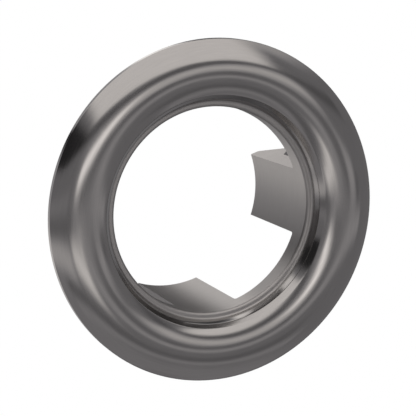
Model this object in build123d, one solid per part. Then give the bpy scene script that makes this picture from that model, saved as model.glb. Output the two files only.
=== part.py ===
from build123d import *
import math
import os

# Overflow cover ring for a basin: a moulded trim ring whose domed face hides the edge of the
# overflow hole, with a short sleeve behind it that ends in four snap legs.
# The axis runs along Y and the face looks towards -Y. The origin is the centre of the flange's
# back plane, which seats on the basin. Sections are drawn as (radius, Y) and turned about Y,
# and a height is a distance in front of the back plane. All sizes are in millimetres.

# Waterway, and the narrow ledge sunk into the face around it
bore_radius = 9.09
ledge_width = 0.55
ledge_depth = 0.1
lip_radius = 0.12

# Face of the ring: a dome between the upright rim and the steep flank that drops to the ledge
face_width = 5.36
crest_share = 0.513
crest_height = 1.72
rim_height = 0.742
rim_blend = 0.59
flank_slope = 76.0
shoulder_blend = 0.4

# Back of the flange and the hollow behind the face
back_chamfer = 0.15
rim_wall = 1.3
hollow_depth = 0.6
hollow_chamfer = 0.25

# Sleeve and its snap legs
sleeve_wall = 1.55
sleeve_depth = 2.0
leg_count = 4
leg_angle = 37.5
leg_reach = 11.3
tip_wall = 0.87
tip_chamfer = 0.12
barb_height = 1.16
barb_land = 0.25
lead_in_angle = 33.0
grip_angle = 45.0
root_blend = 0.25

crease_radius = bore_radius + ledge_width
ring_radius = crease_radius + face_width
crest_radius = ring_radius - crest_share * face_width
sleeve_radius = bore_radius + sleeve_wall
tip_radius = bore_radius + tip_wall
barb_radius = sleeve_radius + barb_height


def flank_top():
    """Point where the straight flank, rising from the crease, meets the dome."""
    dome_width = ring_radius - crest_radius
    dome_rise = crest_height - rim_height
    dome_radius = (dome_width**2 + dome_rise**2) / (2 * dome_rise)
    across = math.cos(math.radians(flank_slope))
    up = math.sin(math.radians(flank_slope))
    from_centre = crease_radius - crest_radius
    below_centre = dome_radius - crest_height - ledge_depth
    along = from_centre * across + below_centre * up
    length = math.sqrt(along**2 - from_centre**2 - below_centre**2 + dome_radius**2) - along
    return crease_radius + length * across, ledge_depth - length * up


def corner(sketch, radius, y):
    """The sketch's corner nearest to a point of the section."""
    return sketch.vertices().sort_by_distance((radius, y))[0]


def cover_section():
    """Half section through a leg: dome, flank, ledge, bore, barbed sleeve and the hollow behind."""
    shoulder = flank_top()
    crease = (crease_radius, ledge_depth)
    lip_centre = (bore_radius + lip_radius, ledge_depth + lip_radius)
    lip = CenterArc(lip_centre, lip_radius, 180, 90)
    hollow_radius = ring_radius - rim_wall
    lead_in_length = (barb_radius - tip_radius) / math.tan(math.radians(lead_in_angle))
    grip_length = (barb_radius - sleeve_radius) / math.tan(math.radians(grip_angle))
    barb_end = leg_reach - lead_in_length
    barb_start = barb_end - barb_land
    with BuildSketch() as section:
        with BuildLine():
            Line((ring_radius, 0), (ring_radius, -rim_height))
            ThreePointArc((ring_radius, -rim_height), (crest_radius, -crest_height), shoulder)
            Line(shoulder, crease)
            Line(crease, lip @ 1)
            add(lip)
            Polyline(
                lip @ 0,
                (bore_radius, leg_reach),
                (tip_radius, leg_reach),
                (barb_radius, barb_end),
                (barb_radius, barb_start),
                (sleeve_radius, barb_start - grip_length),
                (sleeve_radius, -hollow_depth),
                (hollow_radius, -hollow_depth),
                (hollow_radius, 0),
                (ring_radius, 0),
            )
        make_face()
        fillet(corner(section, ring_radius, -rim_height), rim_blend)
        fillet(corner(section, *shoulder), shoulder_blend)
        chamfer(corner(section, ring_radius, 0), back_chamfer)
        chamfer(corner(section, hollow_radius, -hollow_depth), hollow_chamfer)
        chamfer(corner(section, sleeve_radius, -hollow_depth), hollow_chamfer)
        chamfer(corner(section, bore_radius, leg_reach), tip_chamfer)
        chamfer(corner(section, tip_radius, leg_reach), tip_chamfer)
    return section.sketch


def leg_gap(middle_angle):
    """Cutter for the space between two legs, its middle at an angle from +X towards +Z."""
    gap_angle = 360 / leg_count - leg_angle
    inside = bore_radius / 2
    outside = barb_radius + sleeve_wall
    beyond = leg_reach + sleeve_wall
    with BuildSketch() as slot:
        with BuildLine():
            Polyline(
                (inside, sleeve_depth),
                (outside, sleeve_depth),
                (outside, beyond),
                (inside, beyond),
                close=True,
            )
        make_face()
    cutter = revolve(slot.sketch, Axis.Y, gap_angle)
    root_edges = cutter.edges().filter_by(GeomType.LINE).group_by(Axis.Y)[0]
    cutter = fillet(root_edges, root_blend)
    return Rot(0, -gap_angle / 2 - middle_angle, 0) * cutter


def overflow_cover():
    """The whole cover as one solid: the section turned about the axis, then cut between its legs."""
    cover = revolve(cover_section(), Axis.Y, 360)
    pitch = 360 / leg_count
    for index in range(leg_count):
        cover -= leg_gap((index + 0.5) * pitch)
    return cover


os.makedirs("parts", exist_ok=True)
export_step(overflow_cover(), "parts/overflow_cover.step")
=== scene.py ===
import math

import bmesh
import bpy
from mathutils import Matrix, Vector


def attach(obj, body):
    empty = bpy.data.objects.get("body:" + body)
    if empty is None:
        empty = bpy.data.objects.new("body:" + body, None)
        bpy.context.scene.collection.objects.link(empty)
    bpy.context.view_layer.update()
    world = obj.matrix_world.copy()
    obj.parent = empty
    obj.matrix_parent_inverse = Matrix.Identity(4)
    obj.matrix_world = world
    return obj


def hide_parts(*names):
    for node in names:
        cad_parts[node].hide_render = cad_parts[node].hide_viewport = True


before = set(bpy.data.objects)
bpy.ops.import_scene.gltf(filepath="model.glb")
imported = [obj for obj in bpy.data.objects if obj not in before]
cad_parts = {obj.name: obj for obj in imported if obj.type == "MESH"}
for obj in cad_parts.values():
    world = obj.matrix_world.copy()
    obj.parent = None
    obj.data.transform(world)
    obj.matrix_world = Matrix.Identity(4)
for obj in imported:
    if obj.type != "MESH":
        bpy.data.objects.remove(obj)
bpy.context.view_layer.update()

MM = 0.001
scene = bpy.context.scene
scene.view_settings.view_transform = "Standard"

# Sizes of the cover in millimetres and degrees, the same as in the CAD source. Its section is drawn
# as points (radius, Y) and turned about Y. The face looks towards -Y, and Y is 0 at the ring's back.
BORE_RADIUS = 9.09
LEDGE_WIDTH = 0.55
LEDGE_DEPTH = 0.1
FACE_WIDTH = 5.36
CREST_SHARE = 0.513
CREST_HEIGHT = 1.72
RIM_HEIGHT = 0.742
RIM_BLEND = 0.59
BACK_CHAMFER = 0.15
RIM_WALL = 1.3
HOLLOW_DEPTH = 0.6
HOLLOW_CHAMFER = 0.25
SLEEVE_WALL = 1.55
SLEEVE_DEPTH = 2.0
ROOT_BLEND = 0.25
LEG_COUNT = 4
LEG_ANGLE = 37.5
LEG_REACH = 11.3
TIP_WALL = 0.87
TIP_CHAMFER = 0.12
BARB_HEIGHT = 1.16
BARB_LAND = 0.25
LEAD_IN_ANGLE = 33.0
GRIP_ANGLE = 45.0

CREASE_RADIUS = BORE_RADIUS + LEDGE_WIDTH
RING_RADIUS = CREASE_RADIUS + FACE_WIDTH
CREST_RADIUS = RING_RADIUS - CREST_SHARE * FACE_WIDTH
HOLLOW_RADIUS = RING_RADIUS - RIM_WALL
SLEEVE_RADIUS = BORE_RADIUS + SLEEVE_WALL
TIP_RADIUS = BORE_RADIUS + TIP_WALL
BARB_RADIUS = SLEEVE_RADIUS + BARB_HEIGHT

# Sizes that are the scene's own, in millimetres and degrees. Inside the dome a gentle flank runs
# down to a steep wall, where the CAD has one slope, and the corners are softer. The section stays
# within 0.1 mm of the CAD's.
FLANK_SLOPE = 54.0
WALL_SLOPE = 74.0
WALL_HEIGHT = 0.82
LIP_RADIUS = 0.25
CREASE_BLEND = 0.2
WALL_BLEND = 0.6
SHOULDER_BLEND = 0.5
BARB_BLEND = 0.1
EDGE = 0.05

# How finely the cover's mesh is divided
COLUMNS_PER_LEG = 40
COLUMNS_PER_GAP = 56
ROOT_STEPS = 4
ROWS_IN_BORE = 4
DOME_STEPS = 26
ROWS_ON_SLEEVE = 5
ROWS_ON_LEG = 8
LEAD_IN_ROWS = (0.3, 0.6)
FACE_DEGREES_PER_STEP = 7.5
LEG_DEGREES_PER_STEP = 15.0
BEVEL_SEGMENTS = 2
LARGEST_SIDE_SHARE = 0.49
SMALLEST_BLEND = 1e-4

# The camera as fitted to the photograph: its place, directions and lens, in millimetres
CAMERA_PLACE = (-48.65, -114.473, 23.557)
CAMERA_FORWARD = (0.38079, 0.90617, -0.18398)
CAMERA_RIGHT = (0.92191, -0.38742, 0.0)
FOCAL_LENGTH = 126.21
SENSOR_WIDTH = 36.0

# The studio and the camera's reach, in metres
CLIP_START = 0.005
CLIP_END = 50.0
WHITE = (1, 1, 1, 1)
FLOOR_HALF_WIDTH = 20.0
FLOOR_HEIGHT = -0.5
SURROUND_RADIUS = 0.45
SURROUND_RINGS = 48
SURROUND_SEGMENTS = 96

# Soft cards of the grey surround, painted in this order: azimuth (0 towards the front, positive to
# the right), elevation, half width, half height and soft edge, all in degrees, then the strength,
# and how much the card's elevation rises with each degree to the right
SURROUND_GREY = 0.26
CARDS_BELOW = [
    ("lower left", -80, -50, 70, 24, 22, 0.33, 0.0),
    ("floor ahead", 25, -66, 70, 12, 15, 0.33, 0.0),
    ("behind", 180, 5, 32, 42, 18, 0.46, 0.0),
    ("dark corner", 150, 0, 12, 48, 6, 0.08, 0.0),
    ("dark floor behind", 165, -62, 30, 14, 14, 0.12, 0.0),
    ("table behind", -152, -26, 16, 9, 14, 0.95, 0.0),
    ("wall behind", 168, 50, 6, 32, 6, 1.40, 0.0),
    ("right side", 92, 58, 30, 20, 13, 0.62, 0.0),
    ("window glow", 2, 2, 10, 10, 14, 0.50, 0.0),
    ("front shade", 10, 15, 60, 2, 5, 0.15, 0.0),
    ("lower shade", 0, -33, 45, 2, 6, 0.19, 0.0),
    ("low line", 10, -42, 50, 1.5, 5, 0.38, 0.0),
]
CARDS_ABOVE = [
    ("left table edge", -85, -22, 62, 4, 6, 0.66, 0.0),
    ("left shade", -60, -12, 45, 1.5, 5, 0.20, 0.0),
    ("left line", -70, -4, 45, 2, 4, 0.34, 0.0),
    ("right shade", 30, -7, 30, 1, 4, 0.20, 0.0),
    ("right line", 32, -14, 32, 1.5, 4, 0.50, 0.0),
    ("window", 2, 1, 11, 2, 5, 1.80, 0.15),
    ("window side", 25, 5, 12, 4, 6, 0.78, 0.2),
    ("lower window", -5, -19, 11, 2, 6, 1.20, 0.0),
    ("small window", 43, -6, 6, 2, 5, 0.55, 0.0),
]
# Level panels overhead, painted between the two lists of cards. Each edge is a soft range of its
# distance over the panel's height: left, right, how far the right edge slants with the distance
# ahead, and front. The strength comes last.
OVERHEAD = [
    ("softbox", (-1.06, -0.80), (0.68, 0.30), 0.55, (2.75, 2.15), 1.10),
    ("flag", (-4.8, -3.4), (-1.08, -1.45), 0.0, (4.8, 3.0), 0.03),
]
# The panels fade in over this range of the elevation's sine. A lower bound keeps it clear of zero.
OVERHEAD_FADE = (0.05, 0.2)
LOWEST_SINE = 0.02
# The surround's light is a little cool where it is dim and a little warm where it is bright, and
# changes over this range of strength
DIM_TINT = (1.0, 0.985, 1.02, 1)
BRIGHT_TINT = (1.03, 1.0, 0.975, 1)
TINT_RANGE = (0.2, 0.9)

# Noise of the plating: cells per millimetre across the grain, per radian along it, and detail
GRAIN = (7.0, 5.0, 2.0)
HAIRS = (16.0, 9.0, 2.0)
WAVES = (1.5, 1.2, 1.0)
CLOUDS = (0.5, 4.0, 3.0)
NOISE_MIDDLE = 0.5
# Colour, from the dark plating to the rubbed one, and how strongly each cause shifts it
DARK_PLATING = (0.375, 0.362, 0.356, 1)
RUBBED_PLATING = (0.43, 0.414, 0.406, 1)
HAIR_STREAKS = 1.2
CLOUD_STREAKS = 0.6
EDGE_WEAR = 0.5
WORN_POINTINESS = (0.54, 0.66)
WORN_CLOUDS = (0.35, 0.65)
# Roughness. The plating is duller inside the crease and behind the face, but not on the outer part
# of the ring's back. The soft ranges are of the radius, of Y and of the radius, in millimetres.
ROUGHNESS = 0.13
GRAIN_ROUGHNESS = 0.07
CLOUD_ROUGHNESS = 0.06
DULL_ROUGHNESS = 0.27
DULL_INSIDE = (9.8, 9.6)
DULL_BEHIND = (-0.3, 0.1)
DULL_WITHIN = (13.2, 12.8)
# Bump: the depth of one unit of height in millimetres, and the waves' and hairs' share beside the
# grain's
BUMP_DEPTH = 0.0008
WAVE_BUMP = 6.0
HAIR_BUMP = 0.4


class Graph:
    """A new material with short calls for its nodes."""

    def __init__(self, name):
        self.material = bpy.data.materials.new(name)
        self.material.use_nodes = True
        self.nodes = self.material.node_tree.nodes
        self.links = self.material.node_tree.links
        self.nodes.clear()

    def put(self, value, socket):
        """Links a socket, or sets a plain value."""
        if isinstance(value, bpy.types.NodeSocket):
            self.links.new(value, socket)
        else:
            socket.default_value = value

    def math(self, operation, *values, clamp=False):
        node = self.nodes.new("ShaderNodeMath")
        node.operation = operation
        node.use_clamp = clamp
        for index, value in enumerate(values):
            self.put(value, node.inputs[index])
        return node.outputs[0]

    def step(self, value, low, high):
        """0 at low, 1 at high, smooth between."""
        node = self.nodes.new("ShaderNodeMapRange")
        node.interpolation_type = "SMOOTHSTEP"
        self.put(value, node.inputs["Value"])
        node.inputs["From Min"].default_value = low
        node.inputs["From Max"].default_value = high
        return node.outputs["Result"]

    def mix(self, factor, a, b, kind="FLOAT"):
        """a at factor 0, b at factor 1."""
        node = self.nodes.new("ShaderNodeMix")
        node.data_type = kind
        self.put(factor, node.inputs["Factor"])
        self.put(a, node.inputs["A"])
        self.put(b, node.inputs["B"])
        return node.outputs["Result"]

    def object_point(self):
        """The shaded point in the object's own frame."""
        return self.nodes.new("ShaderNodeTexCoord").outputs["Object"]

    def split(self, vector):
        node = self.nodes.new("ShaderNodeSeparateXYZ")
        self.links.new(vector, node.inputs[0])
        return node.outputs

    def finish(self, shader):
        """Makes the shader the material's surface."""
        output = self.nodes.new("ShaderNodeOutputMaterial")
        self.links.new(shader.outputs[0], output.inputs["Surface"])
        return self.material


def add_camera():
    data = bpy.data.cameras.new("camera")
    camera = bpy.data.objects.new("camera", data)
    scene.collection.objects.link(camera)
    data.sensor_width = SENSOR_WIDTH
    data.lens = FOCAL_LENGTH
    data.clip_start = CLIP_START
    data.clip_end = CLIP_END
    forward = Vector(CAMERA_FORWARD).normalized()
    right = Vector(CAMERA_RIGHT).normalized()
    up = right.cross(forward)
    camera.location = Vector(CAMERA_PLACE) * MM
    camera.rotation_mode = "QUATERNION"
    camera.rotation_quaternion = Matrix((right, up, -forward)).transposed().to_quaternion()
    scene.camera = camera


def add_floor():
    """A plain white floor, well below the part."""
    mesh = bpy.data.meshes.new("floor")
    signs = [(-1, -1), (1, -1), (1, 1), (-1, 1)]
    corners = [(x * FLOOR_HALF_WIDTH, y * FLOOR_HALF_WIDTH, FLOOR_HEIGHT) for x, y in signs]
    mesh.from_pydata(corners, [], [(0, 1, 2, 3)])
    plane = bpy.data.objects.new("floor", mesh)
    scene.collection.objects.link(plane)
    g = Graph("floor")
    shader = g.nodes.new("ShaderNodeBsdfDiffuse")
    shader.inputs["Color"].default_value = WHITE
    mesh.materials.append(g.finish(shader))


def add_world():
    world = bpy.data.worlds.new("studio")
    scene.world = world
    world.use_nodes = True
    background = world.node_tree.nodes["Background"]
    background.inputs["Color"].default_value = WHITE
    background.inputs["Strength"].default_value = 1.0


def surround_mesh():
    verts, faces = [], []
    for i in range(SURROUND_RINGS + 1):
        elevation = math.radians(-90 + 180 * i / SURROUND_RINGS)
        level = SURROUND_RADIUS * math.cos(elevation)
        for j in range(SURROUND_SEGMENTS):
            turn = math.radians(360 * j / SURROUND_SEGMENTS)
            height = SURROUND_RADIUS * math.sin(elevation)
            verts.append((level * math.cos(turn), level * math.sin(turn), height))
    for i in range(SURROUND_RINGS):
        for j in range(SURROUND_SEGMENTS):
            a = i * SURROUND_SEGMENTS + j
            b = i * SURROUND_SEGMENTS + (j + 1) % SURROUND_SEGMENTS
            faces.append((a, b, b + SURROUND_SEGMENTS, a + SURROUND_SEGMENTS))
    mesh = bpy.data.meshes.new("surround")
    mesh.from_pydata(verts, [], faces)
    mesh.validate()
    return mesh


def paint_cards(g, value, cards, azimuth, elevation):
    """The strength of the surround with soft cards painted over it one by one."""
    for _, card_azimuth, card_elevation, wide, high, edge, strength, tilt in cards:
        turned = g.math("WRAP", g.math("SUBTRACT", azimuth, card_azimuth), 180.0, -180.0)
        middle = g.math("MULTIPLY_ADD", turned, tilt, card_elevation)
        beside = g.math("ABSOLUTE", turned)
        above = g.math("ABSOLUTE", g.math("SUBTRACT", elevation, middle))
        in_width = g.step(beside, wide + edge, wide - edge / 2)
        in_height = g.step(above, high + edge, max(high - edge / 2, 0))
        value = g.mix(g.math("MULTIPLY", in_width, in_height), value, strength)
    return value


def paint_overhead(g, value, x, y, z):
    """The strength of the surround with the level panels painted over it one by one."""
    height = g.math("MAXIMUM", z, LOWEST_SINE)
    across = g.math("DIVIDE", x, height)
    ahead = g.math("DIVIDE", g.math("MULTIPLY", y, -1.0), height)
    for _, left, right, slant, front, strength in OVERHEAD:
        slanted = g.math("MULTIPLY_ADD", ahead, -slant, across)
        inside = g.math("MULTIPLY", g.step(across, *left), g.step(ahead, *front))
        inside = g.math("MULTIPLY", inside, g.step(slanted, *right))
        inside = g.math("MULTIPLY", inside, g.step(z, *OVERHEAD_FADE))
        value = g.mix(inside, value, strength)
    return value


def surround_material():
    g = Graph("surround")
    unit = g.nodes.new("ShaderNodeVectorMath")
    unit.operation = "NORMALIZE"
    g.links.new(g.object_point(), unit.inputs[0])
    x, y, z = g.split(unit.outputs[0])
    degrees = 180 / math.pi
    turn = g.math("ARCTAN2", x, g.math("MULTIPLY", y, -1.0))
    azimuth = g.math("MULTIPLY", turn, degrees)
    elevation = g.math("MULTIPLY", g.math("ARCSINE", z), degrees)
    value = paint_cards(g, SURROUND_GREY, CARDS_BELOW, azimuth, elevation)
    value = paint_overhead(g, value, x, y, z)
    value = paint_cards(g, value, CARDS_ABOVE, azimuth, elevation)
    tint = g.mix(g.step(value, *TINT_RANGE), DIM_TINT, BRIGHT_TINT, "RGBA")
    emission = g.nodes.new("ShaderNodeEmission")
    g.links.new(tint, emission.inputs["Color"])
    g.links.new(value, emission.inputs["Strength"])
    return g.finish(emission)


def add_surround():
    """A shell round the part that only its reflections see."""
    mesh = surround_mesh()
    shell = bpy.data.objects.new("surround", mesh)
    scene.collection.objects.link(shell)
    shell.visible_camera = False
    shell.visible_diffuse = False
    shell.visible_shadow = False
    shell.visible_transmission = False
    mesh.materials.append(surround_material())


def rounded(points, blends, degrees_per_step):
    """The open line through points, with each corner between its ends rounded to its blend."""
    line = [points[0]]
    for before, here, after, blend in zip(points, points[1:], points[2:], blends):
        corner = Vector(here)
        a = Vector((before[0] - here[0], before[1] - here[1]))
        b = Vector((after[0] - here[0], after[1] - here[1]))
        half = a.angle(b) / 2
        longest = LARGEST_SIDE_SHARE * min(a.length, b.length)
        reach = min(blend / math.tan(half), longest)
        radius = reach * math.tan(half)
        if radius < SMALLEST_BLEND:
            line.append(here)
            continue
        between = (a.normalized() + b.normalized()).normalized()
        centre = corner + between * (radius / math.sin(half))
        first = corner + a.normalized() * reach - centre
        turn = math.pi - 2 * half
        sign = 1 if a.x * b.y - a.y * b.x < 0 else -1
        steps = max(2, math.ceil(math.degrees(turn) / degrees_per_step))
        for i in range(steps + 1):
            c, s = math.cos(sign * turn * i / steps), math.sin(sign * turn * i / steps)
            line.append((centre.x + first.x * c - first.y * s, centre.y + first.x * s + first.y * c))
    line.append(points[-1])
    return line


def profile():
    """The section's corners and blends, from a gap's root through the bore, over the face and back."""
    dome_width = RING_RADIUS - CREST_RADIUS
    dome_rise = CREST_HEIGHT - RIM_HEIGHT
    dome_radius = (dome_width**2 + dome_rise**2) / (2 * dome_rise)
    dome_centre = dome_radius - CREST_HEIGHT

    # The bend between wall and flank, and the shoulder where the flank meets the dome
    wall_run = WALL_HEIGHT / math.tan(math.radians(WALL_SLOPE))
    bend = (CREASE_RADIUS + wall_run, LEDGE_DEPTH - WALL_HEIGHT)
    across = math.cos(math.radians(FLANK_SLOPE))
    rise = math.sin(math.radians(FLANK_SLOPE))
    from_centre = bend[0] - CREST_RADIUS
    below_centre = dome_centre - bend[1]
    along = from_centre * across + below_centre * rise
    length = math.sqrt(along**2 - from_centre**2 - below_centre**2 + dome_radius**2) - along
    shoulder = (bend[0] + length * across, bend[1] - length * rise)

    points, blends = [], []

    def go(radius, y, blend=0.0):
        points.append((radius, y))
        blends.append(blend)

    bore_run = LEDGE_DEPTH + LIP_RADIUS - SLEEVE_DEPTH
    for i in range(ROWS_IN_BORE):
        go(BORE_RADIUS, SLEEVE_DEPTH + bore_run * i / ROWS_IN_BORE)
    go(BORE_RADIUS, LEDGE_DEPTH, LIP_RADIUS)
    go(CREASE_RADIUS, LEDGE_DEPTH, CREASE_BLEND)
    go(*bend, WALL_BLEND)
    go(*shoulder, SHOULDER_BLEND)
    first = math.atan2(shoulder[0] - CREST_RADIUS, -(shoulder[1] - dome_centre))
    last = math.atan2(dome_width, RIM_HEIGHT + dome_centre)
    for i in range(1, DOME_STEPS):
        angle = first + (last - first) * i / DOME_STEPS
        go(CREST_RADIUS + dome_radius * math.sin(angle), dome_centre - dome_radius * math.cos(angle))
    go(RING_RADIUS, -RIM_HEIGHT, RIM_BLEND)
    go(RING_RADIUS, -BACK_CHAMFER, EDGE)
    go(RING_RADIUS - BACK_CHAMFER, 0.0, EDGE)
    go(HOLLOW_RADIUS, 0.0, EDGE)
    sleeve_start = HOLLOW_CHAMFER - HOLLOW_DEPTH
    sleeve_run = SLEEVE_DEPTH + HOLLOW_DEPTH - HOLLOW_CHAMFER
    go(HOLLOW_RADIUS, sleeve_start, EDGE)
    go(HOLLOW_RADIUS - HOLLOW_CHAMFER, -HOLLOW_DEPTH, EDGE)
    go(SLEEVE_RADIUS + HOLLOW_CHAMFER, -HOLLOW_DEPTH, EDGE)
    go(SLEEVE_RADIUS, sleeve_start, EDGE)
    for i in range(1, ROWS_ON_SLEEVE):
        go(SLEEVE_RADIUS, sleeve_start + sleeve_run * i / ROWS_ON_SLEEVE)
    go(SLEEVE_RADIUS, SLEEVE_DEPTH)
    return points, blends


def leg_rows():
    """Pairs of inner and outer points up a leg, from just above its root to its tip."""
    lead_in = (BARB_RADIUS - TIP_RADIUS) / math.tan(math.radians(LEAD_IN_ANGLE))
    grip = (BARB_RADIUS - SLEEVE_RADIUS) / math.tan(math.radians(GRIP_ANGLE))
    slope = (TIP_RADIUS - BARB_RADIUS) / lead_in
    barb_end = LEG_REACH - lead_in
    barb_start = barb_end - BARB_LAND
    foot = barb_start - grip
    bottom = SLEEVE_DEPTH + ROOT_BLEND
    outline, blends = [], []

    def go(radius, y, blend=0.0):
        outline.append((radius, y))
        blends.append(blend)

    for i in range(ROWS_ON_LEG):
        go(SLEEVE_RADIUS, bottom + (foot - bottom) * i / ROWS_ON_LEG)
    go(SLEEVE_RADIUS, foot, BARB_BLEND)
    go(BARB_RADIUS, barb_start, BARB_BLEND)
    go(BARB_RADIUS, barb_end, BARB_BLEND)
    for share in LEAD_IN_ROWS:
        go(BARB_RADIUS + slope * lead_in * share, barb_end + lead_in * share)
    go(TIP_RADIUS - slope * TIP_CHAMFER, LEG_REACH - TIP_CHAMFER, EDGE)
    go(TIP_RADIUS - TIP_CHAMFER, LEG_REACH)
    outer = rounded(outline, blends[1:-1], LEG_DEGREES_PER_STEP)
    rows = [((BORE_RADIUS, y), (radius, y)) for radius, y in outer[:-1]]
    rows.append(((BORE_RADIUS + TIP_CHAMFER, LEG_REACH), outer[-1]))
    return rows


def mesh_columns():
    """Columns about the axis: angle, whether a leg stands there, and the rise of the gap's root."""
    pitch = 360.0 / LEG_COUNT
    gap_angle = pitch - LEG_ANGLE
    middle_radius = (BORE_RADIUS + SLEEVE_RADIUS) / 2
    root_angle = math.degrees(ROOT_BLEND / middle_radius)
    level_angle = gap_angle - 2 * root_angle
    root = []
    for i in range(1, ROOT_STEPS + 1):
        turn = math.radians(90.0 * i / ROOT_STEPS)
        root.append((root_angle * (1 - math.cos(turn)), ROOT_BLEND * (1 - math.sin(turn))))
    columns = []
    for leg in range(LEG_COUNT):
        start = leg * pitch - LEG_ANGLE / 2
        for i in range(COLUMNS_PER_LEG + 1):
            columns.append((start + LEG_ANGLE * i / COLUMNS_PER_LEG, True, 0.0))
        gap_start = start + LEG_ANGLE
        for offset, rise in root:
            columns.append((gap_start + offset, False, rise))
        for i in range(1, COLUMNS_PER_GAP):
            turned = level_angle * i / COLUMNS_PER_GAP
            columns.append((gap_start + root_angle + turned, False, 0.0))
        for offset, rise in reversed(root):
            columns.append((gap_start + gap_angle - offset, False, rise))
    return columns


def cover_mesh():
    """The ring and its legs as one closed mesh in millimetres, with its sharp edges weighted."""
    points, blends = profile()
    line = rounded(points, blends[1:-1], FACE_DEGREES_PER_STEP)
    rows = leg_rows()
    mesh = bmesh.new()

    def vert(angle, radius, y):
        turn = math.radians(angle)
        return mesh.verts.new((radius * math.cos(turn), y, radius * math.sin(turn)))

    def face(*corners):
        """A face without the corners that come twice, where rows run together."""
        kept = []
        for corner in corners:
            if corner not in kept:
                kept.append(corner)
        if len(kept) > 2:
            mesh.faces.new(kept)

    # Each column has the ring's section, the inner and outer point above it, and a leg or None
    columns = []
    for angle, is_leg, rise in mesh_columns():
        stack = [vert(angle, radius, y) for radius, y in line]
        leg = [(vert(angle, *a), vert(angle, *b)) for a, b in rows] if is_leg else None
        if is_leg:
            inner, outer = leg[0]
        elif rise > 0:
            inner = vert(angle, BORE_RADIUS, SLEEVE_DEPTH + rise)
            outer = vert(angle, SLEEVE_RADIUS, SLEEVE_DEPTH + rise)
        else:
            inner, outer = stack[0], stack[-1]
        columns.append((stack, inner, outer, leg))

    # Faces between neighbouring columns
    sharp = []
    for here, after in zip(columns, columns[1:] + columns[:1]):
        stack_a, in_a, out_a, leg_a = here
        stack_b, in_b, out_b, leg_b = after
        for low in range(len(line) - 1):
            face(stack_a[low], stack_a[low + 1], stack_b[low + 1], stack_b[low])
        face(in_a, stack_a[0], stack_b[0], in_b)
        face(stack_a[-1], out_a, out_b, stack_b[-1])
        if leg_a and leg_b:
            for low in range(len(rows) - 1):
                (ia, oa), (ib, ob) = leg_a[low], leg_b[low]
                (ja, pa), (jb, pb) = leg_a[low + 1], leg_b[low + 1]
                face(ja, ia, ib, jb)
                face(oa, pa, pb, ob)
            (tip_in_a, tip_out_a), (tip_in_b, tip_out_b) = leg_a[-1], leg_b[-1]
            face(tip_out_a, tip_in_a, tip_in_b, tip_out_b)
            sharp += [(tip_in_a, tip_in_b), (tip_out_a, tip_out_b)]
            sharp.append((leg_a[-2][0], leg_b[-2][0]))
        else:
            face(out_a, in_a, in_b, out_b)
            sharp += [(in_a, in_b), (out_a, out_b)]

    # The two sides of each leg
    legs = [column[-1] for column in columns]
    for index, leg in enumerate(legs):
        if not leg:
            continue
        first = legs[index - 1] is None
        last = legs[(index + 1) % len(legs)] is None
        if not (first or last):
            continue
        for (i, o), (j, p) in zip(leg, leg[1:]):
            if first:
                face(i, j, p, o)
            else:
                face(i, o, p, j)
            sharp += [(i, j), (o, p)]
        sharp.append(leg[-1])

    weights = mesh.edges.layers.float.new("bevel_weight_edge")
    for a, b in sharp:
        edge = mesh.edges.get((a, b))
        if edge:
            edge[weights] = 1.0
    mesh.normal_update()
    return mesh


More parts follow.
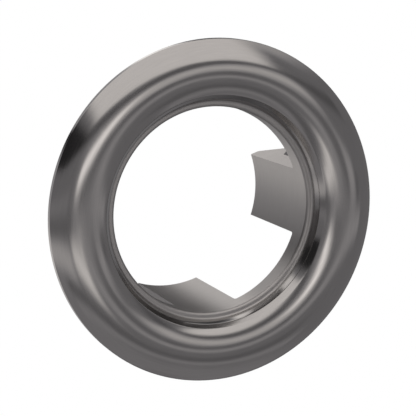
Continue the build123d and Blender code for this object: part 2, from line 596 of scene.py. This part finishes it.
def satin_gunmetal():
    """Satin plating with a fine grain that runs round the axis, and edges rubbed a little brighter."""
    g = Graph("satin_gunmetal")
    x, y, z = [g.math("MULTIPLY", part, 1 / MM) for part in g.split(g.object_point())]
    radius = g.math("SQRT", g.math("MULTIPLY_ADD", x, x, g.math("MULTIPLY", z, z)))
    turn_x = g.math("DIVIDE", x, radius)
    turn_z = g.math("DIVIDE", z, radius)

    def noise(across, around, detail):
        node = g.nodes.new("ShaderNodeTexNoise")
        node.noise_dimensions = "4D"
        node.inputs["Scale"].default_value = 1.0
        node.inputs["Detail"].default_value = detail
        join = g.nodes.new("ShaderNodeCombineXYZ")
        g.put(g.math("MULTIPLY", radius, across), join.inputs[0])
        g.put(g.math("MULTIPLY", turn_x, around), join.inputs[1])
        g.put(g.math("MULTIPLY", turn_z, around), join.inputs[2])
        g.links.new(join.outputs[0], node.inputs["Vector"])
        g.put(g.math("MULTIPLY", y, across), node.inputs["W"])
        return node.outputs[0]

    def centred(value):
        return g.math("SUBTRACT", value, NOISE_MIDDLE)

    grain = noise(*GRAIN)
    hairs = noise(*HAIRS)
    waves = noise(*WAVES)
    clouds = noise(*CLOUDS)
    shader = g.nodes.new("ShaderNodeBsdfPrincipled")
    shader.inputs["Metallic"].default_value = 1.0

    pointiness = g.nodes.new("ShaderNodeNewGeometry").outputs["Pointiness"]
    worn = g.math("MULTIPLY", g.step(pointiness, *WORN_POINTINESS), g.step(clouds, *WORN_CLOUDS))
    streaks = g.math("MULTIPLY", clouds, CLOUD_STREAKS)
    streaks = g.math("MULTIPLY_ADD", centred(hairs), HAIR_STREAKS, streaks)
    rubbed = g.math("MULTIPLY_ADD", worn, EDGE_WEAR, streaks, clamp=True)
    colour = g.mix(rubbed, DARK_PLATING, RUBBED_PLATING, "RGBA")
    g.links.new(colour, shader.inputs["Base Color"])

    dull = g.math("MAXIMUM", g.step(radius, *DULL_INSIDE), g.step(y, *DULL_BEHIND))
    dull = g.math("MULTIPLY", dull, g.step(radius, *DULL_WITHIN))
    rough = g.math("MULTIPLY_ADD", centred(grain), GRAIN_ROUGHNESS, ROUGHNESS)
    rough = g.math("MULTIPLY_ADD", centred(clouds), CLOUD_ROUGHNESS, rough)
    rough = g.math("MULTIPLY_ADD", dull, DULL_ROUGHNESS, rough)
    g.links.new(rough, shader.inputs["Roughness"])

    bump = g.nodes.new("ShaderNodeBump")
    bump.inputs["Strength"].default_value = 1.0
    bump.inputs["Distance"].default_value = BUMP_DEPTH * MM
    height = g.math("MULTIPLY_ADD", hairs, HAIR_BUMP, grain)
    height = g.math("MULTIPLY_ADD", waves, WAVE_BUMP, height)
    g.links.new(height, bump.inputs["Height"])
    g.links.new(bump.outputs["Normal"], shader.inputs["Normal"])
    return g.finish(shader)


def add_cover():
    """The ring with its legs, built in millimetres so that the bevel is sound, then scaled."""
    mesh = cover_mesh()
    data = bpy.data.meshes.new("cover_ring")
    mesh.to_mesh(data)
    mesh.free()
    cover = bpy.data.objects.new("cover_ring", data)
    scene.collection.objects.link(cover)
    bevel = cover.modifiers.new("soft edges", "BEVEL")
    bevel.limit_method = "WEIGHT"
    bevel.width = EDGE
    bevel.segments = BEVEL_SEGMENTS
    weigh = cover.modifiers.new("normals", "WEIGHTED_NORMAL")
    weigh.keep_sharp = False
    data.shade_smooth()
    bpy.context.view_layer.update()
    shaped = cover.evaluated_get(bpy.context.evaluated_depsgraph_get())
    ready = bpy.data.meshes.new_from_object(shaped)
    cover.modifiers.clear()
    cover.data = ready
    ready.name = "cover_ring"
    ready.transform(Matrix.Scale(MM, 4))
    ready.materials.clear()
    ready.materials.append(satin_gunmetal())
    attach(cover, "root")
    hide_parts("overflow_cover")


add_camera()
add_floor()
add_world()
add_surround()
add_cover()
